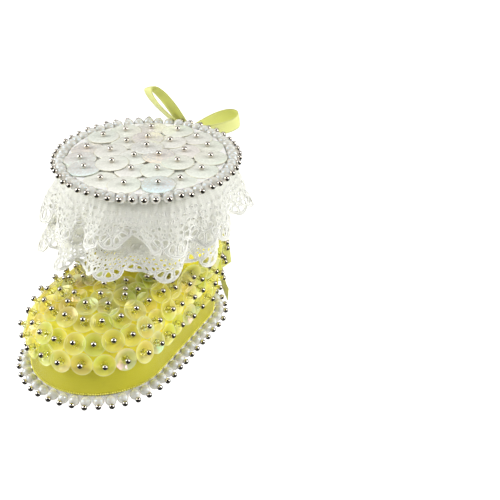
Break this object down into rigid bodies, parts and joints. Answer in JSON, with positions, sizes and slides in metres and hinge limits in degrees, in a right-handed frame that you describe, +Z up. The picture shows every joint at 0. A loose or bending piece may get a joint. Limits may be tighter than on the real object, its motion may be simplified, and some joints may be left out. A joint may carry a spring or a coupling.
{
  "type": "sequin baby bootie ornament",
  "caption": "Foam baby bootie pinned with cupped yellow sequins, white crown sequins, pearl rings, a satin sole band, two lace frills and a satin bow.",
  "frame": {"origin": "on the flat underside of the sole, on the bootie's centre plane, between the toe and the heel circles", "axes": "+Z up from the sole to the crown, -Y towards the toe, +Y towards the heel, +X to the right seen from behind"},
  "size_m": [0.0818, 0.1233, 0.0938],
  "materials": {
    "foam": "matte expanded polystyrene",
    "sole_satin": "bright yellow satin ribbon",
    "pearl": "pearlised white",
    "pin_steel": "bright nickel-plated steel",
    "yellow_sequin": "clear pale yellow film with a rainbow coating",
    "seed_bead": "clear glass",
    "lace": "white nylon lace",
    "white_sequin": "pearlised white film",
    "bow_satin": "pale yellow satin ribbon"
  },
  "bodies": {
    "root": {"foam_form": "foam", "sole_ribbon": "sole_satin", "sole_ribbon_edge": "sole_satin", "base_pearls": "pearl", "base_pearl_pins": "pin_steel", "cup_sequins_row1": "yellow_sequin", "beads_row1": "seed_bead", "pins_row1": "pin_steel", "cup_sequins_row2": "yellow_sequin", "beads_row2": "seed_bead", "pins_row2": "pin_steel", "cup_sequins_row3": "yellow_sequin", "beads_row3": "seed_bead", "pins_row3": "pin_steel", "cup_sequins_row4": "yellow_sequin", "beads_row4": "seed_bead", "pins_row4": "pin_steel", "cup_sequins_row5": "yellow_sequin", "beads_row5": "seed_bead", "pins_row5": "pin_steel", "cup_sequins_row6": "yellow_sequin", "beads_row6": "seed_bead", "pins_row6": "pin_steel", "cup_sequins_row7": "yellow_sequin", "beads_row7": "seed_bead", "pins_row7": "pin_steel", "lace_lower": "lace", "lace_upper": "lace", "lace_heading": "lace", "rim_pearls": "pearl", "rim_pearl_pins": "pin_steel", "crown_sequins_outer": "white_sequin", "crown_sequins_middle": "white_sequin", "crown_sequins_inner": "white_sequin", "crown_pins": "pin_steel", "bow_loop_left": "bow_satin", "bow_loop_right": "bow_satin", "bow_knot": "bow_satin", "bow_tail_long": "bow_satin", "bow_tail_short": "bow_satin", "bow_pin": "pin_steel"}
  },
  "joints": []
}
